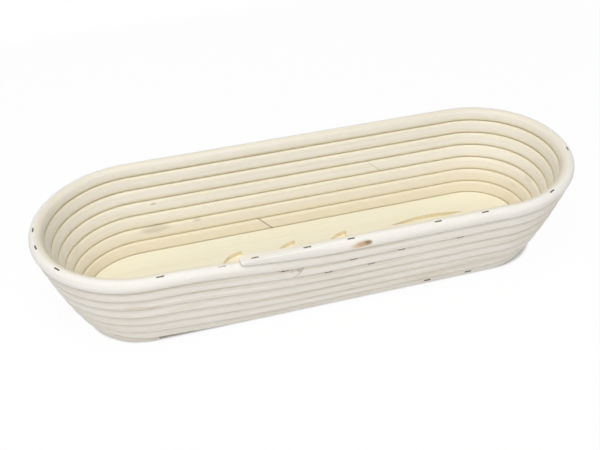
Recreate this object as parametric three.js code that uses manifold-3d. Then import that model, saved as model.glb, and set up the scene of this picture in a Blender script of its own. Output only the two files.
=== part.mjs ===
// A long oval proofing basket: rattan canes wound in a rising spiral round a plywood board,
// spliced end to end, held by wire staples, with a wheat ear milled into the board.
// Millimetres, +Z up, X along the basket. The origin is on the underside, at the middle.
import * as THREE from 'three';
import { mergeVertices } from 'three/addons/utils/BufferGeometryUtils.js';
import Module from 'manifold-3d';

const wasm = await Module();
wasm.setup();

// Plan and wall. The wall leans out, more at the foot than at the rim. The right end is skewed,
// shorter on the near side, and the left end is fuller at the foot, on its far half.
const STRAIGHT_LENGTH = 272.2;
const BASE_RADIUS = 44.7;
const FOOT_LEAN = 29.2;
const RIM_LEAN = 17.2;
const COURSES = 8;
const END_SKEW = 11.6;
const SKEW_START = 0.4;
const LEFT_FULLNESS = 6;

// Cane
const CANE_DIAMETER = 10.1;
const COURSE_GAP = 0.6;
const CANE_SIDES = 10;
const STEPS_PER_STRETCH = [10, 12, 3, 12];

// Board, with a rebate round its underside for the lowest course, and its milled wheat ear
const BOARD_THICKNESS = 12.9;
const LIP_INSET = 1.3;
const LIP_CLEARANCE = 0.33;
const SEAT_GAP = 0.35;
const RECESS_DEPTH = 3.8;
const KERNEL_LENGTH = 28;
const KERNEL_WIDTH = 11;
const KERNEL_PITCH = 44;
const KERNEL_PAIRS = 3;
const KERNEL_ANGLE = 45;
const EAR_FOOT = -78.6;
const STALK_LENGTH = 44;
const STALK_WIDTH = 4;
const RACHIS_CLEARANCE = 1.6;
const BEARD_LENGTH = 65;
const BEARD_WIDTH = 6;
const BEARD_BOW = 2;
const BEARD_OFFSET = 16;
const BEARD_START = 67;

// Spiral: each turn climbs one course, the rim turns on the near side and the lowest turns
// later, where they run over the head into the left end
const RIM_CLIMB_MIDDLE = -65;
const FOOT_CLIMB_MIDDLE = -130;
const CLIMB_LENGTH = 150;
const CLIMB_EASE = 0.8;
const HEAD_AT = -1.005;
const TAIL_AT = -0.558;

// Splices between the cane lengths, on the far side low and middle, and on the near side
const LOW_SPLICE_AT = -0.236;
const MIDDLE_SPLICE_AT = 0.49;
const NEAR_SPLICE_AT = -0.274;
const SCARF_LENGTH = 12;
const SPLICE_GAP = 0.3;

// Staples
const CROWN_LENGTH = 6;
const LEG_LENGTH = 13;
const WIRE_WIDTH = 1.2;
const WIRE_THICKNESS = 0.6;
const STAPLE_CLEARANCE = 0.3;
const CROWN_RELIEF = 1.5;
const CROWN_SINK = 0.1;
const BOARD_LEG_LENGTH = 16;
const RIM_STAPLE_ANGLE = -4;
const FACE_STAPLE_ANGLE = 26;
const FAR_START = 120;
const FAR_END = 60;

const halfStraight = STRAIGHT_LENGTH / 2;
const lastTurn = COURSES - 1;
const pitch = CANE_DIAMETER + COURSE_GAP;
const caneRadius = CANE_DIAMETER / 2;
const caneCorner = caneRadius / Math.cos(Math.PI / CANE_SIDES);
const firstHeight = caneCorner;
const rimHeight = courseHeight(lastTurn) + caneCorner;
const lipHeight = firstHeight + caneCorner + LIP_CLEARANCE;
const edgeRadius = BASE_RADIUS - caneCorner - SEAT_GAP;
const lipRadius = BASE_RADIUS - LIP_INSET;

// Lean of the wall at a course number
function leanAt(level) {
  const below = Math.max(1 - level / lastTurn, 0);
  return THREE.MathUtils.degToRad(RIM_LEAN + (FOOT_LEAN - RIM_LEAN) * below * below);
}

// Way from the lowest course to a level along the leaning wall, in one direction (Simpson's rule)
function wallWay(level, part) {
  return pitch * level / 6 * (part(leanAt(0)) + 4 * part(leanAt(level / 2)) + part(leanAt(level)));
}

function courseRadius(level) {
  return BASE_RADIUS + wallWay(level, Math.sin);
}

function courseHeight(level) {
  return firstHeight + wallWay(level, Math.cos);
}

// Place along the winding: four stretches a turn, the near side run leftwards, the left end,
// the far side run rightwards and the right end. Straights take a share of the half length,
// from -1 at the left to 1 at the right, and ends take an angle from where the stretch begins.
const near = (turn, share) => 4 * turn + (1 - share) / 2;
const left = (turn, angle) => 4 * turn + 1 + angle / 180;
const far = (turn, share) => 4 * turn + 2 + (1 + share) / 2;
const right = (turn, angle) => 4 * turn + 3 + angle / 180;

// Course number at a place: it rises by one over the climb and is level elsewhere.
function levelAt(place) {
  const turn = Math.floor(place / 4);
  const along = place - 4 * turn;
  const below = Math.max(1 - turn / lastTurn, 0);
  const middle = RIM_CLIMB_MIDDLE + (FOOT_CLIMB_MIDDLE - RIM_CLIMB_MIDDLE) * below * below;
  const start = middle + CLIMB_LENGTH / 2;
  const walked = along < 1
    ? start - (1 - 2 * along) * halfStraight
    : start + halfStraight + (along - 1) * Math.PI * courseRadius(lastTurn / 2);
  const share = THREE.MathUtils.clamp(walked / CLIMB_LENGTH, 0, 1);
  return turn + share - CLIMB_EASE * Math.sin(2 * Math.PI * share) / (2 * Math.PI);
}

// Point of the plan at a place, a radius from the middle of the end or from the long axis,
// with the direction out of the basket.
function planAt(place, radius, level) {
  const stretch = Math.floor(place) - 4 * Math.floor(place / 4);
  const share = place - Math.floor(place);
  const turned = share * Math.PI;
  const fullness = LEFT_FULLNESS * THREE.MathUtils.clamp(1 - level / lastTurn, 0, 1);
  if (stretch === 0) {
    const along = 1 - 2 * share;
    const skewed = END_SKEW * Math.max((along - SKEW_START) / (1 - SKEW_START), 0);
    const point = new THREE.Vector3(along * halfStraight - skewed, -radius, 0);
    return { point, outward: new THREE.Vector3(0, -1, 0) };
  }
  if (stretch === 1) {
    const outward = new THREE.Vector3(-Math.sin(turned), -Math.cos(turned), 0);
    const point = outward.clone().multiplyScalar(radius);
    point.x += outward.x * (1 + outward.y) / 2 * fullness - halfStraight;
    return { point, outward };
  }
  if (stretch === 2) {
    const point = new THREE.Vector3((2 * share - 1) * halfStraight, radius, 0);
    return { point, outward: new THREE.Vector3(0, 1, 0) };
  }
  const outward = new THREE.Vector3(Math.sin(turned), Math.cos(turned), 0);
  const point = outward.clone().multiplyScalar(radius);
  point.x += halfStraight - END_SKEW * (1 - outward.y) / 2;
  return { point, outward };
}

// Centre of the cane at a place, with the directions along the cane, up the wall and out of it.
function frameAt(place) {
  const level = levelAt(place);
  const lean = leanAt(level);
  const { point, outward } = planAt(place, courseRadius(level), level);
  const centre = point.setZ(courseHeight(level));
  const upWall = outward.clone().multiplyScalar(Math.sin(lean)).setZ(Math.cos(lean));
  const outOfWall = outward.clone().multiplyScalar(Math.cos(lean)).setZ(-Math.sin(lean));
  const along = new THREE.Vector3(outward.y, -outward.x, 0);
  return { centre, along, upWall, outOfWall, outward };
}

// Half the way from a place to the neighbouring turn, as a share of half the usual way: where
// the turns part a little in the climb, the cane is drawn taller to keep the gap the same.
function fillAt(place, turns) {
  const way = frameAt(place).centre.distanceTo(frameAt(place + 4 * turns).centre);
  return (way - COURSE_GAP) / CANE_DIAMETER;
}

// One ring of points round the cane. A scarf slides them along the winding with their height.
function caneRing(place, scarf, shift) {
  const ring = [];
  for (let side = 0; side < CANE_SIDES; side += 1) {
    const angle = (side + 0.5) * 2 * Math.PI / CANE_SIDES;
    const up = caneCorner * Math.cos(angle);
    const out = caneCorner * Math.sin(angle);
    const slid = place + (shift - scarf * up / CANE_DIAMETER) / STRAIGHT_LENGTH;
    const { centre, upWall, outOfWall } = frameAt(slid);
    const fill = fillAt(slid, Math.sign(up));
    ring.push(centre.addScaledVector(upWall, up * fill).addScaledVector(outOfWall, out));
  }
  return ring;
}

// A closed tube through rings of points, with flat ends.
function tubeGeometry(rings) {
  const points = rings.flat();
  const index = [];
  const last = (rings.length - 1) * CANE_SIDES;
  for (let step = 0; step < rings.length - 1; step += 1) {
    for (let side = 0; side < CANE_SIDES; side += 1) {
      const next = (side + 1) % CANE_SIDES;
      const a = step * CANE_SIDES + side;
      const b = step * CANE_SIDES + next;
      index.push(a, a + CANE_SIDES, b, b, a + CANE_SIDES, b + CANE_SIDES);
    }
  }
  for (let side = 1; side < CANE_SIDES - 1; side += 1) {
    index.push(0, side, side + 1, last, last + side + 1, last + side);
  }
  const geometry = new THREE.BufferGeometry().setFromPoints(points);
  geometry.setIndex(index);
  return geometry;
}

// Places of the rings between two places, clear of both ends by one cane diameter.
function ringPlaces(start, end) {
  const margin = (CANE_DIAMETER + SCARF_LENGTH / 2) / STRAIGHT_LENGTH;
  const places = [];
  for (let stretch = Math.floor(start); stretch <= Math.floor(end); stretch += 1) {
    const steps = STEPS_PER_STRETCH[stretch - 4 * Math.floor(stretch / 4)];
    for (let step = 0; step < steps; step += 1) {
      const place = stretch + step / steps;
      if (place > start + margin && place < end - margin) places.push(place);
    }
  }
  return places;
}

// A length of cane. Spliced ends are cut on the slant, free ends are square.
function caneLength(start, end, startSpliced, endSpliced) {
  const halfGap = SPLICE_GAP * Math.hypot(SCARF_LENGTH, CANE_DIAMETER) / CANE_DIAMETER / 2;
  const rings = [
    caneRing(start, startSpliced ? SCARF_LENGTH : 0, startSpliced ? halfGap : 0),
    ...ringPlaces(start, end).map((place) => caneRing(place, 0, 0)),
    caneRing(end, endSpliced ? SCARF_LENGTH : 0, endSpliced ? -halfGap : 0),
  ];
  return toSolid(tubeGeometry(rings));
}

// Least distance between neighbouring turns, on points of the rings and of their sides.
function leastGap(start, end) {
  const outline = (place) => caneRing(place, 0, 0).flatMap((point, side, ring) => {
    const next = ring[(side + 1) % CANE_SIDES];
    return [0, 0.25, 0.5, 0.75].map((share) => point.clone().lerp(next, share));
  });
  let least = Infinity;
  for (const place of ringPlaces(start, end - 4)) {
    const upper = outline(place + 4);
    for (const point of outline(place)) {
      for (const other of upper) least = Math.min(least, point.distanceTo(other));
    }
  }
  return least;
}

function toSolid(geometry) {
  const bare = geometry.clone();
  bare.deleteAttribute('normal');
  bare.deleteAttribute('uv');
  const merged = mergeVertices(bare, 1e-4);
  return new wasm.Manifold(new wasm.Mesh({
    numProp: 3,
    vertProperties: new Float32Array(merged.attributes.position.array),
    triVerts: new Uint32Array(merged.index.array),
  }));
}

function toGeometry(solid) {
  const mesh = solid.getMesh();
  const geometry = new THREE.BufferGeometry();
  geometry.setAttribute('position', new THREE.BufferAttribute(mesh.vertProperties, 3));
  geometry.setIndex(new THREE.BufferAttribute(mesh.triVerts, 1));
  geometry.computeVertexNormals();
  return geometry;
}

// A block over the whole length, to trim the first and last turns flat.
function trimBlock(front, back, bottom, top) {
  const length = STRAIGHT_LENGTH + 4 * courseRadius(COURSES);
  const geometry = new THREE.BoxGeometry(length, back - front, top - bottom);
  geometry.translate(0, (front + back) / 2, (bottom + top) / 2);
  return toSolid(geometry);
}

// Outline of a staple, crown along x and legs down -y, grown by a clearance on every side.
function stapleOutline(legLength, grown, relief) {
  const outer = CROWN_LENGTH / 2 + grown;
  const inner = CROWN_LENGTH / 2 - WIRE_THICKNESS - grown;
  const under = -WIRE_THICKNESS - grown;
  const tip = -legLength - grown;
  return new THREE.Shape([
    new THREE.Vector2(-outer, relief),
    new THREE.Vector2(-outer, tip),
    new THREE.Vector2(-inner, tip),
    new THREE.Vector2(-inner, under),
    new THREE.Vector2(inner, under),
    new THREE.Vector2(inner, tip),
    new THREE.Vector2(outer, tip),
    new THREE.Vector2(outer, relief),
  ]);
}

function stapleGeometry(legLength, grown, relief) {
  const depth = WIRE_WIDTH + 2 * grown;
  const shape = stapleOutline(legLength, grown, relief);
  const geometry = new THREE.ExtrudeGeometry(shape, { depth, bevelEnabled: false });
  return geometry.translate(0, 0, -depth / 2);
}

const staples = [];
const pockets = [];

// A staple whose crown lies along a direction at a point, driven towards a target.
function driveStaple(name, point, along, target, legLength, relief) {
  const back = point.clone().sub(target).normalize();
  const across = along.clone().cross(back).normalize();
  const crown = back.clone().cross(across);
  const placed = new THREE.Matrix4().makeBasis(crown, back, across).setPosition(point);
  const geometry = stapleGeometry(legLength, 0, 0);
  const mesh = new THREE.Mesh(geometry, new THREE.MeshStandardMaterial({
    color: 0x6f6a62, roughness: 0.42, metalness: 0.9,
  }));
  mesh.name = name;
  mesh.applyMatrix4(placed);
  staples.push(mesh);
  const pocket = stapleGeometry(legLength, STAPLE_CLEARANCE, relief);
  pockets.push(toSolid(pocket.applyMatrix4(placed)));
}

// A staple through one course into the middle of the course below.
function courseStaple(name, place, surfaceAngle, relief) {
  const { centre, along, upWall, outOfWall } = frameAt(place);
  const angle = THREE.MathUtils.degToRad(surfaceAngle);
  const point = centre.clone()
    .addScaledVector(upWall, (caneRadius - CROWN_SINK) * Math.cos(angle))
    .addScaledVector(outOfWall, (caneRadius - CROWN_SINK) * Math.sin(angle));
  const target = frameAt(place - 4).centre;
  const highest = rimHeight - CROWN_SINK - WIRE_WIDTH / 2 * Math.sin(leanAt(lastTurn));
  const above = Math.max(point.z - highest, 0);
  point.lerp(target, above / (point.z - target.z));
  driveStaple(name, point, along, target, LEG_LENGTH, relief);
}

// A staple from the outer face of the lowest course straight into the edge of the board.
function edgeStaple(name, place) {
  const { centre, along, outward } = frameAt(place);
  const point = centre.clone().addScaledVector(outward, caneRadius - CROWN_SINK);
  driveStaple(name, point, along, centre, BOARD_LEG_LENGTH, CROWN_RELIEF);
}

// Rim staples: closer together round the tail and the left end. They are driven from the top,
// and from the outer face along the far side.
const rimPlaces = [
  near(lastTurn - 1, -0.952),
  near(lastTurn - 1, -0.651),
  left(lastTurn - 1, 53),
  left(lastTurn - 1, 78),
  left(lastTurn - 1, 95),
  left(lastTurn - 1, 149),
  far(lastTurn - 1, -0.76),
  far(lastTurn - 1, -0.26),
  far(lastTurn - 1, 0.24),
  far(lastTurn - 1, 0.73),
  right(lastTurn - 1, 39),
  right(lastTurn - 1, 102),
  right(lastTurn - 1, 152),
  near(lastTurn, 0.806),
  near(lastTurn, 0.498),
  near(lastTurn, 0.012),
  near(lastTurn, -0.217),
  near(lastTurn, -0.485),
];
rimPlaces.forEach((place, count) => {
  const onFar = place > left(lastTurn - 1, FAR_START) && place < right(lastTurn - 1, FAR_END);
  const angle = onFar ? FACE_STAPLE_ANGLE : RIM_STAPLE_ANGLE;
  courseStaple(`rim_staple_${count + 1}`, place, angle, CROWN_RELIEF);
});

// Face staples: on the outer face of the near side, where the courses climb
const facePlaces = [
  near(lastTurn - 2, 0.676),
  near(lastTurn - 2, 0.303),
  near(lastTurn - 2, 0.038),
  near(lastTurn - 2, -0.331),
  near(lastTurn - 3, 0.144),
  near(lastTurn - 3, -0.093),
];
facePlaces.forEach((place, count) => {
  courseStaple(`face_staple_${count + 1}`, place, FACE_STAPLE_ANGLE, CROWN_RELIEF);
});

// Toe staples: low on the near side, through the lowest course into the board
const toePlaces = [near(0, 0.849), near(0, 0.555)];
toePlaces.forEach((place, count) => edgeStaple(`toe_staple_${count + 1}`, place));

// Board staples: the same, round the far side and the ends
const boardPlaces = [
  left(-1, 140),
  far(-1, -0.8),
  far(-1, -0.35),
  far(-1, 0.1),
  far(-1, 0.55),
  right(-1, 20),
  right(-1, 75),
];
boardPlaces.forEach((place, count) => edgeStaple(`board_staple_${count + 1}`, place));

// Course staples: between the courses, hidden once the next course lies on them, and set
// off from course to course so that none meets the one below. Two hold each course on the far
// side, and one or two at the ends.
const coursePlaces = [];
for (let turn = 0; turn < lastTurn - 1; turn += 1) {
  const odd = turn % 2 === 1;
  const share = odd ? 0.36 : 0.86;
  coursePlaces.push(far(turn, -share), far(turn, share));
  if (odd || turn === 0) coursePlaces.push(left(turn, odd ? 85 : 135));
  if (!odd || turn === lastTurn - 2) coursePlaces.push(right(turn, odd ? 120 : 70));
}
coursePlaces.forEach((place, count) => {
  const name = `course_staple_${Math.floor(count / 4) + 1}_${count % 4 + 1}`;
  courseStaple(name, place, 0, CROWN_SINK + COURSE_GAP / 2);
});

// The board's plan at the height of the lowest course, and a plate over it
function plate(radius, bottom, top) {
  const steps = 24;
  const outline = [];
  for (let step = 0; step < 4 * steps; step += 1) {
    const straight = Math.floor(step / steps) % 2 === 0;
    if (straight && step % steps) continue;
    outline.push(planAt(step / steps, radius, 0).point);
  }
  outline.reverse();
  const settings = { depth: top - bottom, bevelEnabled: false };
  return toSolid(new THREE.ExtrudeGeometry(new THREE.Shape(outline), settings).translate(0, 0, bottom));
}

// The board: its edge part, and the lip that reaches out over the lowest course
function boardSolid(grown) {
  const edge = plate(edgeRadius + grown, -grown, BOARD_THICKNESS + grown);
  return edge.add(plate(lipRadius + grown, lipHeight - grown, BOARD_THICKNESS + grown));
}

// Canes, from the head under the lowest turn to the tail on the rim
const head = near(-1, HEAD_AT);
const tail = near(lastTurn, TAIL_AT);
const splices = [
  far(0, LOW_SPLICE_AT),
  far(3, MIDDLE_SPLICE_AT),
  near(lastTurn - 2, NEAR_SPLICE_AT),
];
const ends = [head, ...splices, tail];
const caneColors = [0xe9dcc0, 0xeee2c8, 0xebdec3, 0xf0e6d0];
const cutters = pockets.reduce((joined, pocket) => joined.add(pocket));
const reach = courseRadius(lastTurn) + caneRadius;
const beyond = reach + 4 * CANE_DIAMETER;
const belowGround = trimBlock(-beyond, beyond, -2 * pitch, 0);
const aboveRim = trimBlock(-beyond, beyond, rimHeight, rimHeight + 2 * pitch);
const outsideRim = trimBlock(-beyond, -reach, 0, rimHeight + 2 * pitch);
const boardRoom = boardSolid(SEAT_GAP);
const canes = caneColors.map((color, count) => {
  const solid = caneLength(ends[count], ends[count + 1], count > 0, count < splices.length)
    .subtract(belowGround)
    .subtract(aboveRim)
    .subtract(outsideRim)
    .subtract(boardRoom)
    .subtract(cutters);
  const mesh = new THREE.Mesh(toGeometry(solid), new THREE.MeshStandardMaterial({
    color, roughness: 0.62, metalness: 0,
  }));
  mesh.name = `cane_${count + 1}`;
  return mesh;
});
console.log(`winding: least gap between turns ${leastGap(head, tail).toFixed(2)} mm`);

// A lens with two pointed ends, from the origin along x, bowed sideways where asked.
function lensShape(length, width, bow) {
  const shape = new THREE.Shape();
  shape.moveTo(0, 0);
  shape.quadraticCurveTo(length / 2, 2 * bow - width, length, 0);
  shape.quadraticCurveTo(length / 2, 2 * bow + width, 0, 0);
  return shape;
}

// The wheat ear: a stalk, slanted kernels in pairs, and two bowed beards past the last pair.
function wheatEar() {
  const cuts = [];
  const bottom = BOARD_THICKNESS - RECESS_DEPTH;
  const cut = (shape, x, y, angle) => {
    const settings = { depth: 2 * RECESS_DEPTH, bevelEnabled: false, curveSegments: 7 };
    const geometry = new THREE.ExtrudeGeometry(shape, settings);
    geometry.rotateZ(angle).translate(x, y, bottom);
    cuts.push(toSolid(geometry));
  };
  const slant = THREE.MathUtils.degToRad(KERNEL_ANGLE);
  for (let pair = 0; pair < KERNEL_PAIRS; pair += 1) {
    const foot = EAR_FOOT + pair * KERNEL_PITCH;
    for (const side of [1, -1]) {
      const shape = lensShape(KERNEL_LENGTH, KERNEL_WIDTH, 0);
      cut(shape, foot, side * RACHIS_CLEARANCE, side * slant);
    }
  }
  for (const side of [1, -1]) {
    const shape = lensShape(BEARD_LENGTH, BEARD_WIDTH, side * BEARD_BOW);
    cut(shape, BEARD_START, side * BEARD_OFFSET, 0);
  }
  cut(lensShape(STALK_LENGTH, STALK_WIDTH, 0), EAR_FOOT - RACHIS_CLEARANCE - STALK_LENGTH, 0, 0);
  return cuts;
}

function boardMesh() {
  const solid = wheatEar().reduce((left, cut) => left.subtract(cut), boardSolid(0)).subtract(cutters);
  const mesh = new THREE.Mesh(toGeometry(solid), new THREE.MeshStandardMaterial({
    color: 0xe8d3a2, roughness: 0.68, metalness: 0,
  }));
  mesh.name = 'base_board';
  return mesh;
}

const winding = new THREE.Group();
winding.add(...canes);
const fasteners = new THREE.Group();
fasteners.add(...staples);
const basket = new THREE.Group();
basket.name = 'proofing_basket';
basket.add(boardMesh(), winding, fasteners);

// The origin goes to the middle of the whole basket.
const middle = new THREE.Box3().setFromObject(basket, true).getCenter(new THREE.Vector3());
console.log(`plan: middle of the box at ${middle.x.toFixed(2)}, ${middle.y.toFixed(2)} mm`);
basket.traverse((mesh) => {
  if (!mesh.isMesh) return;
  mesh.position.x -= middle.x;
  mesh.position.y -= middle.y;
});

export default basket;
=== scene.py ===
"""A long oval proofing basket of rattan cane wound round a plywood board, dressed for its portrait.

Metres, +Z up, X along the basket. The winding follows the same spiral as the solids.
"""
import math

import bpy
import numpy as np
from mathutils import Matrix, Vector


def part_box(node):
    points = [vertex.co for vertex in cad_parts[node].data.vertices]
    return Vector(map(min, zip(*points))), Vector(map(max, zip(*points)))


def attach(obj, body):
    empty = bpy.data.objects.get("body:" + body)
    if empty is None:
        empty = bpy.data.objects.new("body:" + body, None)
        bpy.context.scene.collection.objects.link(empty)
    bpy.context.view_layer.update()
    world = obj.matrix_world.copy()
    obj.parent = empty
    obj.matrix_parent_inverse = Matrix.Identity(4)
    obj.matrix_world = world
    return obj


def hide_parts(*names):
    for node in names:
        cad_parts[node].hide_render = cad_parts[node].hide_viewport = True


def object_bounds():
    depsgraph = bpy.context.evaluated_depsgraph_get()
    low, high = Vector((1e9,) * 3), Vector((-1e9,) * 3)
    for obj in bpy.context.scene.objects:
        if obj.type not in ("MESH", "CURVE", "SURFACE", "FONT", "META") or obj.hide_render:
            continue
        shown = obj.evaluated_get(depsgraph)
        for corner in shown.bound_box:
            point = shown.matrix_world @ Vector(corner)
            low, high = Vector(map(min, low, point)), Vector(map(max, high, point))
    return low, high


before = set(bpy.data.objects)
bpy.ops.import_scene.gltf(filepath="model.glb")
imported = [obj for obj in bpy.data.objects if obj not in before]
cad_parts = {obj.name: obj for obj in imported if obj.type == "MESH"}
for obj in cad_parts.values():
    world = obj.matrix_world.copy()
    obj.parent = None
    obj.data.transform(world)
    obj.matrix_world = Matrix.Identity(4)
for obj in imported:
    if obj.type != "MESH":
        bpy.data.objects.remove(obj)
cad_low, cad_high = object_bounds()

MM = 0.001

# Plan and wall of the winding, the same sizes as the solids
STRAIGHT_LENGTH = 272.2 * MM
BASE_RADIUS = 44.7 * MM
FOOT_LEAN = math.radians(29.2)
RIM_LEAN = math.radians(17.2)
COURSES = 8
PITCH = 10.7 * MM
FIRST_HEIGHT = 5.31 * MM
END_SKEW = 11.6 * MM
SKEW_START = 0.4
LEFT_FULLNESS = 6 * MM
PLAN_SHIFT = np.array([2.9, -0.01, 0]) * MM

# Spiral: where each turn climbs, where the cane lengths end
RIM_CLIMB_MIDDLE = -65 * MM
FOOT_CLIMB_MIDDLE = -130 * MM
CLIMB_LENGTH = 150 * MM
CLIMB_EASE = 0.8
HEAD_AT = -1.005
TAIL_AT = -0.558
LOW_SPLICE_AT = -0.236
MIDDLE_SPLICE_AT = 0.49
NEAR_SPLICE_AT = -0.274
SCARF_LENGTH = 12 * MM

# Round cane, squarer on the inside, where the courses were pressed round a form
CANE_OUT = 4.91 * MM
CANE_FREE = 5.1 * MM
CANE_PRESS = 0.998
PRESSED_FORM = 4
PRESS_EASE = 4
TOUCH_FADE = 8 * MM
CANE_SIDES = 48
RINGS_PER_STRETCH = [260, 130, 160, 130]
SCARF_FADE = 14 * MM
END_ROUND = 0.25 * MM
END_RINGS = np.array([0.3, 0.7, 1.2, 2, 3, 4.5, 6]) * MM
SPLICE_GAP = 0.2 * MM
SPLICE_STAIN = 1 * MM
SPLICE_STAINS = [0.75, 0.2, 0.4]
TAIL_ROUND = 3 * MM
TAIL_TAPER = 13 * MM
TAIL_FLAT = 0.65
TAIL_DOME = 3 * MM
TAIL_DOME_DROP = 0.6
HEAD_ROUND = 1 * MM
ROUNDING_RATE = 8
END_SHRINK = 0.06

# Unevenness of grown cane: amount, wave lengths along the cane and seed
SWELL = 0.006
SWELL_WAVES = np.array([31, 83, 190]) * MM
SWELL_SEED = 10
BULGE = 0.05 * MM
BULGE_WAVES = np.array([47, 130]) * MM
BULGE_SEED = 20
GRAIN_APART = 10

# Camera
CAMERA_AZIMUTH = math.radians(-14.69)
CAMERA_ELEVATION = math.radians(36.56)
CAMERA_ROLL = math.radians(-2.05)
CAMERA_DISTANCE = 650.3 * MM
CAMERA_TARGET = Vector((-10.99, 4.51, 40.31)) * MM
FOCAL_PIXELS = 833.1
IMAGE_WIDTH = 600
SENSOR_WIDTH = 36.0

# Board and wheat ear, the same sizes as the solids, but for a lip 0.2 mm narrower
BOARD_THICKNESS = 12.9 * MM
EDGE_RADIUS = 39.04 * MM
LIP_RADIUS = 43.2 * MM
LIP_HEIGHT = 10.95 * MM
RECESS_DEPTH = 3.8 * MM
KERNEL_LENGTH = 28 * MM
KERNEL_WIDTH = 11 * MM
KERNEL_PITCH = 44 * MM
KERNEL_PAIRS = 3
KERNEL_ANGLE = math.radians(45)
EAR_FOOT = -78.6 * MM
STALK_LENGTH = 44 * MM
STALK_WIDTH = 4 * MM
RACHIS_CLEARANCE = 1.6 * MM
BEARD_LENGTH = 65 * MM
BEARD_WIDTH = 6 * MM
BEARD_BOW = 2 * MM
BEARD_OFFSET = 16 * MM
BEARD_START = 67 * MM
ARC_STEPS = 72
LENS_STEPS = 26
BOARD_EDGE_ROUND = 0.3 * MM
BOARD_EDGE_ANGLE = math.radians(40)
PLY_PAIR = 1.9 * MM

# Staple wire
CROWN_LENGTH = 6 * MM
WIRE_WIDTH = 1.2 * MM
WIRE_THICKNESS = 0.6 * MM
WIRE_EDGE = 0.14 * MM
WIRE_BEND = 0.55 * MM
BEND_STEPS = 5
TIP_LENGTH = 3 * WIRE_THICKNESS
TIP_THINNING = 0.35
CROWN_RISE = 0.05 * MM
DENT_DEPTH = 0.25 * MM
DENT_LENGTH = 4 * MM
DENT_WIDTH = 0.62 * MM

# Bruises pressed into the cane: middle, size, way in and depth, in the basket's frame
GOUGES = [
    ((13 * MM, -77 * MM, 76.2 * MM), (7.5 * MM, 4 * MM, 2.6 * MM), (0, 0.8, 0.6), 1.3 * MM),
    ((-34.6 * MM, -70.6 * MM, 58.4 * MM), (3.2 * MM, 3 * MM, 2.2 * MM), (0, 0.95, -0.3), 0.7 * MM),
]

# Colours of the bruises and stains of the cane, and of a painted shadow at the foot: middle, size,
# colour and strength
MARKS = [
    ((9.5 * MM, -77 * MM, 75.3 * MM), (9 * MM, 4.5 * MM, 3 * MM), (0.74, 0.53, 0.36), 0.85),
    ((13 * MM, -77 * MM, 75.8 * MM), (7.5 * MM, 4.5 * MM, 3 * MM), (0.54, 0.34, 0.20), 0.85),
    ((16 * MM, -76.8 * MM, 76.2 * MM), (4 * MM, 3.5 * MM, 2.4 * MM), (0.26, 0.15, 0.08), 0.85),
    ((-37 * MM, -69.9 * MM, 59.3 * MM), (3.5 * MM, 2.5 * MM, 1.8 * MM), (0.60, 0.55, 0.50), 0.45),
    ((-32.6 * MM, -69.8 * MM, 58.9 * MM), (2.2 * MM, 2.5 * MM, 1.7 * MM), (0.42, 0.36, 0.30), 0.6),
    ((-146 * MM, -68.6 * MM, 53.4 * MM), (12 * MM, 4 * MM, 2.6 * MM), (0.74, 0.62, 0.44), 0.55),
    ((-136 * MM, -68.9 * MM, 51.2 * MM), (10 * MM, 4 * MM, 2.2 * MM), (0.74, 0.54, 0.33), 0.7),
    ((-112 * MM, -66.2 * MM, 43 * MM), (16 * MM, 4 * MM, 2.8 * MM), (0.76, 0.67, 0.52), 0.45),
    ((-117.5 * MM, 58.2 * MM, 48.1 * MM), (3.4 * MM, 2 * MM, 0.9 * MM), (0.34, 0.26, 0.18), 0.55),
    ((-119.6 * MM, 51 * MM, 28.7 * MM), (17 * MM, 6 * MM, 4 * MM), (0.50, 0.44, 0.33), 0.45),
    ((-85 * MM, 52 * MM, 29.5 * MM), (5 * MM, 4 * MM, 1.6 * MM), (0.50, 0.44, 0.34), 0.4),
    ((189.4 * MM, 9.4 * MM, 38.9 * MM), (5 * MM, 7 * MM, 2.6 * MM), (0.62, 0.55, 0.45), 0.35),
    ((181.6 * MM, 19.8 * MM, 27.5 * MM), (5 * MM, 6 * MM, 2.2 * MM), (0.62, 0.55, 0.45), 0.35),
    # painted shadow along the gap under the lowest course at the foot
    ((-163.2 * MM, -44.7 * MM, 10 * MM), (7 * MM, 3.4 * MM, 2.4 * MM), (0.26, 0.21, 0.17), 0.9),
]

# Staple that has lost its tarnish
BARE_STAPLE = "rim_staple_2"

# Grain, as noise steps in a metre along, up and out of the cane, or along the object's axes
STREAK_GRAIN = (7, 420, 420)
THREAD_GRAIN = (45, 2600, 2600)
BLOTCH_GRAIN = (9, 40, 40)
PORE_GRAIN = (170, 3000, 3000)
FACE_GRAIN = (9, 330, 40)
FIGURE_GRAIN = (4, 60, 20)
CROSS_GRAIN = (330, 9, 40)
TARNISH_GRAIN = (900, 900, 900)
SCRATCH_GRAIN = (300, 4000, 4000)

# Colours of the cane
CANE_DULL = (0.85, 0.81, 0.735)
CANE_PALE = (0.90, 0.865, 0.80)
CANE_STREAK = (0.77, 0.70, 0.58)
CANE_THREAD = (0.76, 0.69, 0.57)
# painted warm bounce light on the inner faces of the canes
CANE_INNER_BOUNCE = (0.905, 0.857, 0.74)
# painted highlight: the top course whitened on its top and outer side
CANE_RIM_HIGHLIGHT = (0.89, 0.87, 0.825)
# painted shade: the low inside darker, where less light reaches
CANE_LOW_SHADE = (0.765, 0.69, 0.52)
# painted warm shade towards the upper and lower edges of each cane on the inside
CANE_EDGE_SHADE = (0.84, 0.76, 0.56)
CANE_PORE = (0.52, 0.42, 0.30)
# painted shade and grime in the creases where the courses touch
CANE_CREASE_SHADE_AND_GRIME = (0.50, 0.39, 0.21)
CANE_SPLICE = (0.20, 0.14, 0.08)

# Heights between which the rim is painted whiter as a highlight and the low inside is painted darker
# as shade
RIM_HIGHLIGHT_FROM = 66 * MM
RIM_HIGHLIGHT_FULL = 78 * MM
LOW_SHADE_FULL = 10 * MM
LOW_SHADE_END = 48 * MM

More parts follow.
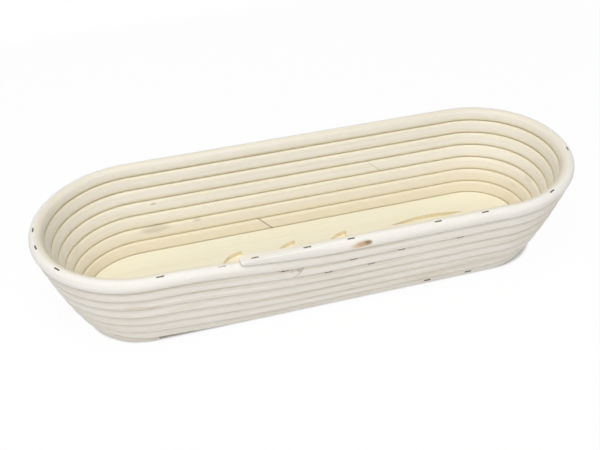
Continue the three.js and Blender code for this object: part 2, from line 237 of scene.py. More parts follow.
# Colours of the board and the wire
FACE_PALE = (0.846, 0.806, 0.645)
FACE_FIGURE = (0.83, 0.776, 0.606)
FACE_STREAK = (0.80, 0.68, 0.47)
MILLED_PALE = (0.90, 0.83, 0.68)
MILLED_STREAK = (0.87, 0.78, 0.61)
PLY_DARK = (0.85, 0.75, 0.53)
PLY_PALE = (0.89, 0.81, 0.60)
PLY_STREAK = (0.68, 0.54, 0.31)
WIRE_DULL = (0.17, 0.15, 0.13)
WIRE_TARNISH = (0.09, 0.075, 0.06)
WIRE_SCRATCH = (0.26, 0.24, 0.22)
WIRE_BARE = (0.40, 0.39, 0.37)

# Studio
FLOOR_SIZE = 12.0
FLOOR_DROP = 0.3 * MM
FLOOR_GLOW = 0.95
GLOW_REACH = 0.6
GLOW_START = -0.3 * MM
GLOW_END = 3.0 * MM
WORLD_STRENGTH = 0.37
RIGHT_STRENGTH = 0.05
SHADE_START = -0.5
KEY_POWER = 13.3
KEY_SIZE = 1.4
KEY_AT = Vector((-0.3, -0.53, 1.6))
FILL_POWER = 9.8
FILL_SIZE = 1.2
FILL_AT = Vector((-0.1, -1.0, 1.4))

half_straight = STRAIGHT_LENGTH / 2
last_turn = COURSES - 1
rim_top = cad_high.z
reach = cad_high.y
ring_angle = np.arange(CANE_SIDES) * 2 * math.pi / CANE_SIDES
ring_upper = np.cos(ring_angle) > 0


# Winding path


def lean_at(level):
    below = np.maximum(1 - level / last_turn, 0)
    return RIM_LEAN + (FOOT_LEAN - RIM_LEAN) * below ** 2


def wall_way(level, part):
    """Way from the lowest course to a level along the leaning wall, in one direction."""
    return PITCH * level / 6 * (part(lean_at(0)) + 4 * part(lean_at(level / 2)) + part(lean_at(level)))


def course_radius(level):
    return BASE_RADIUS + wall_way(level, np.sin)


def course_height(level):
    return FIRST_HEIGHT + wall_way(level, np.cos)


def near(turn, share):
    return 4 * turn + (1 - share) / 2


def far(turn, share):
    return 4 * turn + 2 + (1 + share) / 2


head = near(-1, HEAD_AT)
tail = near(last_turn, TAIL_AT)


def level_at(place):
    """Course number at a place: it rises by one over the climb and is level elsewhere."""
    turn = np.floor(place / 4)
    along = place - 4 * turn
    below = np.maximum(1 - turn / last_turn, 0)
    middle = RIM_CLIMB_MIDDLE + (FOOT_CLIMB_MIDDLE - RIM_CLIMB_MIDDLE) * below ** 2
    start = middle + CLIMB_LENGTH / 2
    on_near = start - (1 - 2 * along) * half_straight
    on_end = start + half_straight + (along - 1) * math.pi * course_radius(last_turn / 2)
    share = np.clip(np.where(along < 1, on_near, on_end) / CLIMB_LENGTH, 0, 1)
    return turn + share - CLIMB_EASE * np.sin(2 * math.pi * share) / (2 * math.pi)


def plan_at(place, radius, level):
    """Points of the plan at an array of places, and the directions out of the basket."""
    stretch = np.floor(place) % 4
    share = place - np.floor(place)
    turned = share * math.pi
    on = [stretch == 0, stretch == 1, stretch == 2, stretch == 3]
    nought = 0 * share
    out_x = np.select(on, [nought, -np.sin(turned), nought, np.sin(turned)])
    out_y = np.select(on, [nought - 1, -np.cos(turned), nought + 1, np.cos(turned)])
    leftwards = 1 - 2 * share
    skewed = END_SKEW * np.maximum((leftwards - SKEW_START) / (1 - SKEW_START), 0)
    fullness = LEFT_FULLNESS * np.clip(1 - level / last_turn, 0, 1)
    middle = np.select(on, [
        leftwards * half_straight - skewed,
        out_x * (1 + out_y) / 2 * fullness - half_straight,
        -leftwards * half_straight,
        half_straight - END_SKEW * (1 - out_y) / 2,
    ])
    outward = np.stack([out_x, out_y, nought], -1)
    point = outward * np.expand_dims(radius + nought, -1) + PLAN_SHIFT
    point[..., 0] += middle
    return point, outward


def path_at(place):
    """Centre, up the wall, out of the wall and course number, for an array of places."""
    level = level_at(place)
    lean = np.expand_dims(lean_at(level), -1)
    centre, outward = plan_at(place, course_radius(level), level)
    centre[..., 2] = course_height(level)
    up = np.array([0.0, 0.0, 1.0])
    up_wall = outward * np.sin(lean) + up * np.cos(lean)
    out_of_wall = outward * np.cos(lean) - up * np.sin(lean)
    return centre, up_wall, out_of_wall, level


def half_way(place, turns):
    """Half the way from the cane at a place to the neighbouring turn."""
    return np.linalg.norm(path_at(place + 4 * turns)[0] - path_at(place)[0], axis=-1) / 2


def soft_min(values, limit, blend):
    """The smaller of the two, rounded over where they meet."""
    blend = np.maximum(blend, 1e-9)
    overlap = np.maximum(blend - np.abs(values - limit), 0) / blend
    return np.minimum(values, limit) - overlap * overlap * blend / 4


def waves(distance, seed, lengths):
    """Smooth seeded noise along the cane, from -1 to 1: one sine for each wave length."""
    phases = np.random.default_rng(seed).uniform(0, 2 * math.pi, len(lengths))
    total = sum(np.sin(2 * math.pi * distance / w + p) for w, p in zip(lengths, phases))
    return total / len(lengths)


def link(name, mesh):
    piece = bpy.data.objects.new(name, mesh)
    bpy.context.scene.collection.objects.link(piece)
    return piece


def tube_mesh(name, rings):
    """A closed tube through rings of points, with a middle point in each end."""
    count, sides = rings.shape[:2]
    points = np.concatenate([rings.reshape(-1, 3), rings[[0, -1]].mean(1)])
    step, side = np.meshgrid(np.arange(count - 1), np.arange(sides), indexing="ij")
    after = (side + 1) % sides
    corners = [step * sides + side, (step + 1) * sides + side]
    corners += [(step + 1) * sides + after, step * sides + after]
    walls = np.stack([c.ravel() for c in corners], 1)
    first, second = count * sides, count * sides + 1
    last = (count - 1) * sides
    ends = []
    for i in range(sides):
        j = (i + 1) % sides
        ends.append((first, i, j))
        ends.append((second, last + j, last + i))
    mesh = bpy.data.meshes.new(name)
    mesh.from_pydata(points.tolist(), [], walls.tolist() + ends)
    mesh.polygons.foreach_set("use_smooth", [True] * len(mesh.polygons))
    mesh.update()
    return mesh


def point_values(mesh, name, values):
    """Stores one number or one vector for each point of a mesh, for its material."""
    kind, field = ("FLOAT", "value") if values.ndim == 1 else ("FLOAT_VECTOR", "vector")
    layer = mesh.attributes.new(name, kind, "POINT")
    layer.data.foreach_set(field, values.astype(np.float32).ravel())


def dress(piece, node):
    """Gives a piece to the basket in place of a node."""
    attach(piece, "root")
    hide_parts(node)


# Staples


def staple_frame(node):
    """Middle of the crown, the ways along it, out of the cane and across, and the leg length."""
    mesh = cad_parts[node].data
    points = np.unique(np.round([v.co[:] for v in mesh.vertices], 7), axis=0)
    middle = points.mean(0)
    leg, crown = np.linalg.svd(points - middle)[2][:2]
    depth = (points - middle) @ leg
    at_low = np.sum(depth < depth.min() + WIRE_THICKNESS / 4)
    at_high = np.sum(depth > depth.max() - WIRE_THICKNESS / 4)
    if at_low < at_high:
        leg, depth = -leg, -depth
    back = Vector(leg)
    along = Vector(crown)
    return Vector(middle + leg * depth.max()), along, back, along.cross(back), np.ptp(depth)


def wire_section():
    """Outline of the flat wire, thickness by width, with its edges broken."""
    thick, wide, edge = WIRE_THICKNESS / 2, WIRE_WIDTH / 2, WIRE_EDGE
    corners = [(thick, wide - edge), (thick - edge, wide), (edge - thick, wide), (-thick, wide - edge)]
    return corners + [(-t, -w) for t, w in corners]


def staple_mesh(name, leg_length):
    """A staple of flat wire: crown along x on top, bent legs down -y with chisel tips."""
    half = CROWN_LENGTH / 2 - WIRE_THICKNESS / 2
    top = -WIRE_THICKNESS / 2
    stations = [((-half, -leg_length), (-1, 0), TIP_THINNING)]
    stations.append(((-half, TIP_LENGTH - leg_length), (-1, 0), 1))
    for side in (-1, 1):
        turns = [i / BEND_STEPS * math.pi / 2 for i in range(BEND_STEPS + 1)]
        for turn in turns if side < 0 else reversed(turns):
            middle = Vector((side * (half - WIRE_BEND), top - WIRE_BEND))
            outward = Vector((side * math.cos(turn), math.sin(turn)))
            stations.append(((middle + outward * WIRE_BEND)[:], outward[:], 1))
    stations.append(((half, TIP_LENGTH - leg_length), (1, 0), 1))
    stations.append(((half, -leg_length), (1, 0), TIP_THINNING))
    rings = np.array([
        [(x + nx * t * thin, y + ny * t * thin, w) for t, w in wire_section()]
        for (x, y), (nx, ny), thin in stations
    ])
    return tube_mesh(name, rings[::-1])


def staple_pieces(material):
    """One wire staple for each staple node, at that node's place."""
    for node in sorted(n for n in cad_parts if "staple" in n):
        crown, along, back, across, legs = staple_frame(node)
        room = (rim_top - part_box(node)[1].z) / max(back.z, 0.1)
        rise = min(CROWN_RISE, max(room, 0))
        mesh = staple_mesh("wire_" + node, legs)
        point_values(mesh, "bare", np.full(len(mesh.vertices), float(node == BARE_STAPLE)))
        placed = Matrix((along, back, across)).transposed().to_4x4()
        mesh.transform(Matrix.Translation(crown + back * rise) @ placed)
        mesh.materials.append(material)
        dress(link("wire_" + node, mesh), node)


# Canes


def cane_places(start, end):
    """Places of the rings of one cane, closer together where more of it shows."""
    places = [np.array([start, end])]
    for stretch in range(math.floor(start), math.floor(end) + 1):
        steps = RINGS_PER_STRETCH[stretch % 4]
        places.append(stretch + np.arange(steps) / steps)
    places.append(start + END_RINGS / STRAIGHT_LENGTH)
    places.append(end - END_RINGS / STRAIGHT_LENGTH)
    places = np.unique(np.concatenate(places))
    return places[(places >= start) & (places <= end)]


def press_dents(points):
    """Points of a cane, pressed in a little under each staple crown that shows."""
    for node in sorted(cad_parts):
        if "staple" not in node or node.startswith("course_staple"):
            continue
        crown, along, back, across, _ = staple_frame(node)
        offset = points - np.array(crown)
        length = offset @ np.array(along) / DENT_LENGTH
        width = offset @ np.array(across) / DENT_WIDTH
        height = offset @ np.array(back)
        facing = np.abs(height) < CANE_OUT / 2
        press = np.maximum(height + DENT_DEPTH, 0) * np.exp(-length ** 4 - width ** 2) * facing
        points = points - press[:, None] * np.array(back)
    return points


def press_gouges(points):
    """Points of a cane, pressed in where the cane was bruised or chipped."""
    for middle, size, inward, depth in GOUGES:
        offset = (points - np.array(middle)) / np.array(size)
        press = depth * np.clip(1 - np.sum(offset ** 2, -1), 0, 1)
        points = points + press[:, None] * np.array(inward)
    return points


def signed_power(share, power):
    return np.sign(share) * np.abs(share) ** power


def cane_section(places, walked, number):
    """Up and out from the centre for each point of the rings, half the height, and the contact."""
    under_next = np.clip((tail - 4 - places) * STRAIGHT_LENGTH / TOUCH_FADE, 0, 1)[:, None]
    on_last = np.clip((places - head - 4) * STRAIGHT_LENGTH / TOUCH_FADE, 0, 1)[:, None]
    touching = np.where(ring_upper, under_next, on_last)
    half = np.where(ring_upper, half_way(places, 1)[:, None], half_way(places, -1)[:, None])
    half = touching * CANE_PRESS * half + (1 - touching) * CANE_FREE
    pressed = touching * np.clip(-PRESS_EASE * np.sin(ring_angle), 0, 1)
    power = 1 + pressed * (2 / PRESSED_FORM - 1)
    up_share = signed_power(np.cos(ring_angle), power)
    out_share = signed_power(np.sin(ring_angle), power)
    swell = 1 + SWELL * (waves(walked, SWELL_SEED + number, SWELL_WAVES) - 1)[:, None]
    return half * up_share, CANE_OUT * swell * out_share, half, np.abs(up_share) * touching


def splice_slide(way, side, up, half):
    """How far the points near a spliced end slide along the cane, for its slanted cut."""
    fade = np.clip(1 - way / SCARF_FADE, 0, 1)[:, None]
    return fade * (side * SPLICE_GAP / 2 - SCARF_LENGTH * up / half / 2)


def wear_tail(up, out, rest):
    """The section of the last cane, worn flat on top and domed towards its free end."""
    worn = np.clip(1 - rest / TAIL_TAPER, 0, 1)[:, None] ** 2
    dome = np.sqrt(1 - TAIL_DOME_DROP * np.clip(1 - rest / TAIL_DOME, 0, 1) ** 2)[:, None]
    return np.where(ring_upper, up * (1 - TAIL_FLAT * worn) * dome, up), out * dome


def keep_inside(rings, level):
    """Rings rounded off at the rim's top, the near reach and the floor, beyond the full turns."""
    over = np.clip((level - last_turn) * ROUNDING_RATE, 0, 1)
    under = np.clip(-level * ROUNDING_RATE, 0, 1)
    rings[..., 2] = soft_min(rings[..., 2], rim_top, over * TAIL_ROUND)
    rings[..., 1] = -soft_min(-rings[..., 1], reach, over * TAIL_ROUND)
    rings[..., 2] = -soft_min(-rings[..., 2], 0, under * HEAD_ROUND)
    return rings


def end_ring(ring, onward):
    """A slightly smaller ring beyond an end of the cane, which rounds its edge."""
    smaller = ring * (1 - END_SHRINK) + ring.mean(0) * END_SHRINK
    return (smaller + onward / np.linalg.norm(onward) * END_ROUND)[None]


def store_rings(mesh, name, values):
    """Stores values of the rings; the end rings repeat, and each end's middle gets their mean."""
    padded = np.concatenate([values[:1], values, values[-1:]])
    ends = padded[[0, -1]].mean(1)
    flat = padded.reshape(-1, *padded.shape[2:])
    point_values(mesh, name, np.concatenate([flat, ends]))


def cane_piece(number, start, end, start_stain, end_stain, material):
    """One length of cane. Ends with a stain are spliced on the slant, and the last end is worn."""
    places = cane_places(start, end)
    middle = path_at(places)[0]
    walked = np.concatenate([[0], np.cumsum(np.linalg.norm(np.diff(middle, axis=0), axis=1))])
    rest = walked[-1] - walked
    up, out, half, contact = cane_section(places, walked, number)
    slide = np.zeros_like(up)
    if start_stain:
        slide += splice_slide(walked, 1, up, half)
    if end_stain:
        slide += splice_slide(rest, -1, up, half)
    else:
        up, out = wear_tail(up, out, rest)
    centre, up_wall, out_of_wall, level = path_at(places[:, None] + slide / STRAIGHT_LENGTH)
    bulge = BULGE * (waves(walked, BULGE_SEED + number, BULGE_WAVES) - 1)[:, None]
    rings = centre + up[..., None] * up_wall + (out + bulge)[..., None] * out_of_wall
    rings = keep_inside(rings, level)
    rings = press_gouges(press_dents(rings.reshape(-1, 3))).reshape(rings.shape)
    first = end_ring(rings[0], middle[0] - middle[1])
    final = end_ring(rings[-1], middle[-1] - middle[-2])
    name = f"wound_cane_{number}"
    mesh = tube_mesh(name, np.concatenate([first, rings, final]))
    stained = start_stain * np.clip(1 - walked / SPLICE_STAIN, 0, 1)
    stained += end_stain * np.clip(1 - rest / SPLICE_STAIN, 0, 1)
    store_rings(mesh, "fibre", np.stack([walked[:, None] + slide + GRAIN_APART * number, up, out], -1))
    store_rings(mesh, "inside", np.tile(-np.sin(ring_angle), (len(places), 1)))
    store_rings(mesh, "contact", contact)
    store_rings(mesh, "splice", np.tile(stained[:, None], CANE_SIDES))
    mesh.materials.append(material)
    dress(link(name, mesh), f"cane_{number}")


def cane_pieces(material):
    splices = [far(0, LOW_SPLICE_AT), far(3, MIDDLE_SPLICE_AT), near(last_turn - 2, NEAR_SPLICE_AT)]
    ends = [head, *splices, tail]
    stains = [0, *SPLICE_STAINS, 0]
    for i in range(len(ends) - 1):
        cane_piece(i + 1, ends[i], ends[i + 1], stains[i], stains[i + 1], material)


# Board


def prism(name, outline, bottom, top):
    """A closed prism over an outline that runs anticlockwise."""
    return stacked(name, [(outline, bottom), (outline, top)])


def stacked(name, levels):
    """A closed body through outlines of equal count, each at its height, from the bottom up."""
    count = len(levels[0][0])
    points = [(x, y, height) for outline, height in levels for x, y in outline]
    last = (len(levels) - 1) * count
    faces = [tuple(reversed(range(count))), tuple(range(last, last + count))]
    for step in range(len(levels) - 1):
        for i in range(count):
            j = (i + 1) % count
            low, high = step * count, (step + 1) * count
            faces.append((low + i, low + j, high + j, high + i))
    mesh = bpy.data.meshes.new(name)
    mesh.from_pydata(points, [], faces)
    return link(name, mesh)


def board_outline(radius):
    """Plan of the board at a radius, anticlockwise."""
    ends = np.arange(ARC_STEPS + 1) / ARC_STEPS * (1 - 1e-9)
    places = np.concatenate([1 + ends, 3 + ends])
    points = plan_at(places, radius, 0)[0]
    return [(x, y) for x, y, _ in points[::-1].tolist()]


def lens_outline(length, width, bow, x, y, angle):
    """A lens with two pointed ends, from a point along an angle, bowed sideways where asked."""
    def edge(height, share):
        return (length * share, 2 * height * share * (1 - share))
    shares = [i / LENS_STEPS for i in range(LENS_STEPS)]
    local = [edge(2 * bow - width, s) for s in shares]
    local += [edge(2 * bow + width, 1 - s) for s in shares]
    cos, sin = math.cos(angle), math.sin(angle)
    x, y = x + PLAN_SHIFT[0], y + PLAN_SHIFT[1]
    return [(x + u * cos - v * sin, y + u * sin + v * cos) for u, v in local]


def wheat_ear():
    """Outlines of the milled ear: a stalk, slanted kernels in pairs, and two bowed beards."""
    outlines = []
    for pair in range(KERNEL_PAIRS):
        foot = EAR_FOOT + pair * KERNEL_PITCH
        for side in (1, -1):
            lens = (KERNEL_LENGTH, KERNEL_WIDTH, 0, foot, side * RACHIS_CLEARANCE, side * KERNEL_ANGLE)
            outlines.append(lens_outline(*lens))
    for side in (1, -1):
        lens = (BEARD_LENGTH, BEARD_WIDTH, side * BEARD_BOW, BEARD_START, side * BEARD_OFFSET, 0)
        outlines.append(lens_outline(*lens))
    start = EAR_FOOT - RACHIS_CLEARANCE - STALK_LENGTH
    outlines.append(lens_outline(STALK_LENGTH, STALK_WIDTH, 0, start, 0, 0))
    return outlines


def board_piece(material):
    edge, lip = board_outline(EDGE_RADIUS), board_outline(LIP_RADIUS)
    levels = [(edge, 0), (edge, LIP_HEIGHT), (lip, LIP_HEIGHT), (lip, BOARD_THICKNESS)]
    board = stacked("plywood_board", levels)
    cutters = [
        prism(f"recess_{i}", outline, BOARD_THICKNESS - RECESS_DEPTH, BOARD_THICKNESS + RECESS_DEPTH)
        for i, outline in enumerate(wheat_ear())
    ]
    for cutter in cutters:
        cut = board.modifiers.new(cutter.name, "BOOLEAN")
        cut.operation = "DIFFERENCE"
        cut.solver = "EXACT"
        cut.object = cutter
    edges = board.modifiers.new("edges", "BEVEL")
    edges.width = BOARD_EDGE_ROUND
    edges.segments = 2
    edges.limit_method = "ANGLE"
    edges.angle_limit = BOARD_EDGE_ANGLE
    evaluated = board.evaluated_get(bpy.context.evaluated_depsgraph_get())
    mesh = bpy.data.meshes.new_from_object(evaluated)
    board.modifiers.clear()
    board.data = mesh
    for cutter in cutters:
        bpy.data.objects.remove(cutter)
    mesh.materials.clear()
    mesh.materials.append(material)
    dress(board, "base_board")


# Materials


class Shader:
    """The nodes of a material or a world, with short calls for those that are shared here."""

    def __init__(self, owner):
        owner.use_nodes = True
        self.owner = owner
        self.tree = owner.node_tree
        self.surface = self.tree.nodes.get("Principled BSDF")

    def node(self, kind, **settings):
        made = self.tree.nodes.new(kind)
        for name, value in settings.items():
            setattr(made, name, value)
        return made

    def join(self, value, socket):
        if isinstance(value, bpy.types.NodeSocket):
            self.tree.links.new(value, socket)
        else:
            socket.default_value = value

    def stored(self, name, field):
        return self.node("ShaderNodeAttribute", attribute_name=name).outputs[field]

    def place(self, kind="Object"):
        return self.node("ShaderNodeTexCoord").outputs[kind]

    def part(self, vector, axis):
        parts = self.node("ShaderNodeSeparateXYZ")
        self.join(vector, parts.inputs[0])
        return parts.outputs[axis]

    def vector(self, operation, a, b=(0, 0, 0), output="Vector"):
        made = self.node("ShaderNodeVectorMath", operation=operation)
        self.join(a, made.inputs[0])
        self.join(b, made.inputs[1])
        return made.outputs[output]

    def noise(self, vector, scale, detail):
        made = self.node("ShaderNodeTexNoise")
        self.join(self.vector("MULTIPLY", vector, scale), made.inputs["Vector"])
        made.inputs["Scale"].default_value = 1.0
        made.inputs["Detail"].default_value = detail
        made.inputs["Roughness"].default_value = 0.55
        return made.outputs["Fac"]

    def math(self, operation, a, b=0.0):
        made = self.node("ShaderNodeMath", operation=operation)
        self.join(a, made.inputs[0])
        self.join(b, made.inputs[1])
        return made.outputs[0]

    def ramp(self, value, low, high, start=0.0, end=1.0, form="SMOOTHSTEP"):
        made = self.node("ShaderNodeMapRange", interpolation_type=form)
        self.join(value, made.inputs["Value"])
        made.inputs["From Min"].default_value = low
        made.inputs["From Max"].default_value = high
        made.inputs["To Min"].default_value = start
        made.inputs["To Max"].default_value = end
        return made.outputs["Result"]

    def mix(self, share, a, b):
        made = self.node("ShaderNodeMix", data_type="RGBA")
        self.join(share, made.inputs["Factor"])
        colours = [s for s in made.inputs if s.type == "RGBA"]
        self.join((*a, 1) if isinstance(a, tuple) else a, colours[0])
        self.join((*b, 1) if isinstance(b, tuple) else b, colours[1])
        return [s for s in made.outputs if s.type == "RGBA"][0]

    def spot(self, middle, size):
        """1 at a point of the object, falling to 0 at an ellipsoid round it."""
        offset = self.vector("SUBTRACT", self.place(), middle)
        sized = self.vector("MULTIPLY", offset, [1 / s for s in size])
        return self.ramp(self.vector("LENGTH", sized, output="Value"), 0.35, 1.0, 1.0, 0.0)

    def bump(self, height, strength, distance):
        made = self.node("ShaderNodeBump")
        made.inputs["Strength"].default_value = strength
        made.inputs["Distance"].default_value = distance
        self.join(height, made.inputs["Height"])
        self.join(made.outputs["Normal"], self.surface.inputs["Normal"])

    def seen(self):
        """1 for what looks at a surface straight, in metal or through glass, and 0 for its light."""
        light = self.node("ShaderNodeLightPath").outputs
        looked = self.math("MAXIMUM", light["Is Camera Ray"], light["Is Glossy Ray"])
        return self.math("MAXIMUM", looked, light["Is Transmission Ray"])

    def blend(self, share, a, b, output):
        """Ends the tree with a mix of two surfaces."""
        mixed = self.node("ShaderNodeMixShader")
        self.join(share, mixed.inputs[0])
        self.join(a, mixed.inputs[1])
        self.join(b, mixed.inputs[2])
        self.join(mixed.outputs[0], self.tree.nodes[output].inputs["Surface"])


def rattan():
    shader = Shader(bpy.data.materials.new("rattan"))
    fibre = shader.stored("fibre", "Vector")
    inside = shader.stored("inside", "Fac")
    height = shader.part(shader.place(), "Z")

    streak = shader.noise(fibre, STREAK_GRAIN, 4)
    thread = shader.noise(fibre, THREAD_GRAIN, 3)
    blotch = shader.noise(fibre, BLOTCH_GRAIN, 2)
    pore = shader.ramp(shader.noise(fibre, PORE_GRAIN, 1), 0.68, 0.8, 0.0, 0.5)
    colour = shader.mix(shader.ramp(blotch, 0.3, 0.7), CANE_DULL, CANE_PALE)
    colour = shader.mix(shader.ramp(streak, 0.5, 0.66, 0.0, 0.8), colour, CANE_STREAK)
    colour = shader.mix(shader.ramp(thread, 0.52, 0.75, 0.0, 0.45), colour, CANE_THREAD)

    inner = shader.ramp(inside, 0.1, 0.9)
    # Painted warm bounce light: the inner faces are tinted yellower
    colour = shader.mix(shader.math("MULTIPLY", inner, 0.5), colour, CANE_INNER_BOUNCE)
    # Painted highlight: the top course is whitened on its top and outer side
    outer = shader.ramp(inside, 0.0, 0.5, 0.55, 0.0)
    rim_highlight = shader.math("MULTIPLY", outer, shader.ramp(height, RIM_HIGHLIGHT_FROM, RIM_HIGHLIGHT_FULL))
    colour = shader.mix(rim_highlight, colour, CANE_RIM_HIGHLIGHT)
    # Painted shade: the inside of the canes darker towards the board
    low_shade = shader.math("MULTIPLY", inner, shader.ramp(height, LOW_SHADE_FULL, LOW_SHADE_END, 1.0, 0.0))
    colour = shader.mix(low_shade, colour, CANE_LOW_SHADE)
    # Painted warm shade towards the top and bottom edges of each cane, on the inside
    edge = shader.ramp(shader.math("ABSOLUTE", shader.part(fibre, "Y")), 1.5 * MM, 5 * MM, 0.0, 0.6)
    edge_shade = shader.math("MULTIPLY", edge, shader.ramp(inside, 0.1, 0.6))
    colour = shader.mix(edge_shade, colour, CANE_EDGE_SHADE)

    colour = shader.mix(pore, colour, CANE_PORE)
    # Bruises and stains, and the painted shadow at the foot
    for middle, size, stain, strength in MARKS:
        share = shader.math("MULTIPLY", shader.spot(middle, size), strength)
        colour = shader.mix(share, colour, stain)
    # Painted shade and grime in the creases where courses touch, strong inside and faint outside
    crease_shade_and_grime = shader.ramp(inside, -0.5, 0.3, 0.03, 0.6)
    touching = shader.ramp(shader.stored("contact", "Fac"), 0.965, 1.0)
    colour = shader.mix(shader.math("MULTIPLY", touching, crease_shade_and_grime), colour, CANE_CREASE_SHADE_AND_GRIME)
    colour = shader.mix(shader.stored("splice", "Fac"), colour, CANE_SPLICE)

    shader.join(colour, shader.surface.inputs["Base Color"])
    shader.join(shader.ramp(streak, 0.3, 0.7, 0.5, 0.64), shader.surface.inputs["Roughness"])
    shader.surface.inputs["Specular IOR Level"].default_value = 0.3
    relief = shader.math("ADD", shader.math("MULTIPLY", streak, 0.5), thread)
    shader.bump(relief, 0.22, 0.15 * MM)
    return shader.owner


def plywood():
    shader = Shader(bpy.data.materials.new("plywood"))
    place = shader.place()
    height = shader.part(place, "Z")
    upright = shader.part(shader.node("ShaderNodeNewGeometry").outputs["Normal"], "Z")
    steep = shader.ramp(shader.math("ABSOLUTE", upright), 0.35, 0.75, 1.0, 0.0)

    grain = shader.noise(place, FACE_GRAIN, 4)
    figure = shader.noise(place, FIGURE_GRAIN, 3)
    cross = shader.noise(place, CROSS_GRAIN, 4)
    face = shader.mix(shader.ramp(figure, 0.35, 0.7), FACE_PALE, FACE_FIGURE)
    face = shader.mix(shader.ramp(grain, 0.5, 0.8, 0.0, 0.35), face, FACE_STREAK)
    milled = shader.mix(shader.ramp(cross, 0.4, 0.7, 0.0, 0.5), MILLED_PALE, MILLED_STREAK)
    above = shader.ramp(height, BOARD_THICKNESS - 1.5 * MM, BOARD_THICKNESS - 0.5 * MM)
    colour = shader.mix(above, milled, face)

    ply = shader.math("SINE", shader.math("MULTIPLY", height, 2 * math.pi / PLY_PAIR))
    edge = shader.mix(shader.ramp(ply, -0.4, 0.4), PLY_DARK, PLY_PALE)
    edge = shader.mix(shader.ramp(cross, 0.5, 0.75, 0.0, 0.4), edge, PLY_STREAK)
    shader.join(shader.mix(steep, colour, edge), shader.surface.inputs["Base Color"])
    shader.join(shader.ramp(grain, 0.3, 0.7, 0.55, 0.7), shader.surface.inputs["Roughness"])
    shader.surface.inputs["Specular IOR Level"].default_value = 0.3
    shader.bump(grain, 0.15, 0.15 * MM)
    return shader.owner


def staple_wire():
    shader = Shader(bpy.data.materials.new("staple_wire"))
    place = shader.place()
    tarnish = shader.noise(place, TARNISH_GRAIN, 3)
    scratch = shader.noise(place, SCRATCH_GRAIN, 2)
    colour = shader.mix(shader.ramp(tarnish, 0.35, 0.65), WIRE_DULL, WIRE_TARNISH)
    colour = shader.mix(shader.ramp(scratch, 0.6, 0.8, 0.0, 0.6), colour, WIRE_SCRATCH)
    colour = shader.mix(shader.stored("bare", "Fac"), colour, WIRE_BARE)
    shader.join(colour, shader.surface.inputs["Base Color"])
    shader.surface.inputs["Metallic"].default_value = 0.85
    shader.join(shader.ramp(tarnish, 0.3, 0.7, 0.35, 0.6), shader.surface.inputs["Roughness"])
    shader.bump(scratch, 0.2, 0.05 * MM)
    return shader.owner


# Studio


def clear_of_basket(shader):
    """0 on the floor under the basket, rising to nearly 1 past its foot and to 1 far away."""
    place = shader.place()
    nearest = shader.vector("MAXIMUM", place, (-half_straight, 0, 0))
    nearest = shader.vector("MINIMUM", nearest, (half_straight, 0, 0))
    away = shader.vector("DISTANCE", place, nearest, "Value")
    by_foot = shader.ramp(away, BASE_RADIUS + GLOW_START, BASE_RADIUS + GLOW_END, 0.0, FLOOR_GLOW)
    far_off = shader.ramp(away, reach, GLOW_REACH)
    return shader.math("MAXIMUM", by_foot, far_off)


def floor_material():
    shader = Shader(bpy.data.materials.new("floor"))
    shader.surface.inputs["Base Color"].default_value = (0.95, 0.95, 0.95, 1)
    shader.surface.inputs["Roughness"].default_value = 0.9
    shader.surface.inputs["Specular IOR Level"].default_value = 0.0
    glow = shader.node("ShaderNodeEmission")
    clear = shader.math("MULTIPLY", shader.seen(), clear_of_basket(shader))
    shader.blend(clear, shader.surface.outputs[0], glow.outputs[0], "Material Output")
    return shader.owner


def floor():
    half = FLOOR_SIZE / 2
    mesh = bpy.data.meshes.new("floor")
    corners = [(-half, -half), (half, -half), (half, half), (-half, half)]
    mesh.from_pydata([(x, y, -FLOOR_DROP) for x, y in corners], [], [(0, 1, 2, 3)])
    mesh.materials.append(floor_material())
    link("floor", mesh)


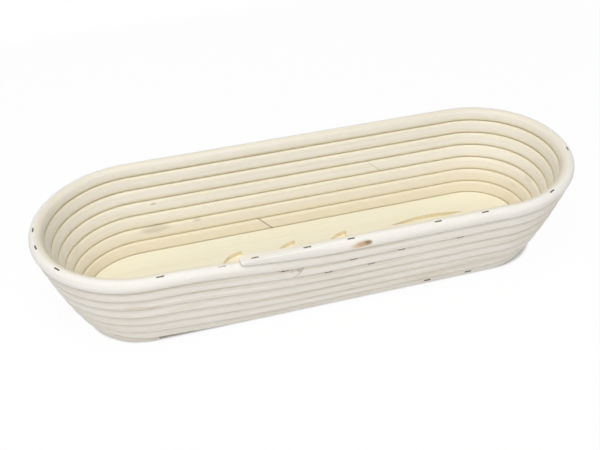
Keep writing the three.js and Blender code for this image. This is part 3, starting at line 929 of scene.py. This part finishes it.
def surroundings():
    """White all round to look at, with light that weakens low on the right."""
    world = bpy.data.worlds.new("studio")
    bpy.context.scene.world = world
    shader = Shader(world)
    around = shader.tree.nodes["Background"]
    around.inputs["Color"].default_value = (1, 1, 1, 1)
    way = shader.place("Generated")
    low_right = shader.math("SUBTRACT", shader.part(way, "X"), shader.part(way, "Z"))
    strength = shader.ramp(low_right, SHADE_START, 1.0, WORLD_STRENGTH, RIGHT_STRENGTH, "LINEAR")
    shader.join(strength, around.inputs["Strength"])
    white = shader.node("ShaderNodeBackground")
    white.inputs["Color"].default_value = (1, 1, 1, 1)
    white.inputs["Strength"].default_value = 1.0
    shader.blend(shader.seen(), around.outputs[0], white.outputs[0], "World Output")
    bpy.context.scene.view_settings.view_transform = "Standard"


def lamp(name, place, size, power):
    data = bpy.data.lights.new(name, "AREA")
    data.size = size
    data.energy = power
    made = bpy.data.objects.new(name, data)
    made.location = place
    made.rotation_mode = "QUATERNION"
    made.rotation_quaternion = (CAMERA_TARGET - place).to_track_quat("-Z", "Y")
    bpy.context.scene.collection.objects.link(made)


def studio():
    floor()
    lamp("key", KEY_AT, KEY_SIZE, KEY_POWER)
    lamp("fill", FILL_AT, FILL_SIZE, FILL_POWER)
    surroundings()


def camera():
    azimuth, elevation = CAMERA_AZIMUTH, CAMERA_ELEVATION
    flat = math.cos(elevation)
    back = Vector((math.sin(azimuth) * flat, -math.cos(azimuth) * flat, math.sin(elevation)))
    level_right = (-back).cross(Vector((0, 0, 1))).normalized()
    level_up = level_right.cross(-back)
    across = math.cos(CAMERA_ROLL) * level_right + math.sin(CAMERA_ROLL) * level_up
    upward = -math.sin(CAMERA_ROLL) * level_right + math.cos(CAMERA_ROLL) * level_up
    data = bpy.data.cameras.new("camera")
    data.sensor_width = SENSOR_WIDTH
    data.lens = FOCAL_PIXELS / IMAGE_WIDTH * SENSOR_WIDTH
    data.clip_start = 0.01
    data.clip_end = 50
    made = bpy.data.objects.new("camera", data)
    turned = Matrix((across, upward, back)).transposed().to_4x4()
    made.matrix_world = Matrix.Translation(CAMERA_TARGET + back * CAMERA_DISTANCE) @ turned
    bpy.context.scene.collection.objects.link(made)
    bpy.context.scene.camera = made


camera()
cane_pieces(rattan())
staple_pieces(staple_wire())
board_piece(plywood())
studio()
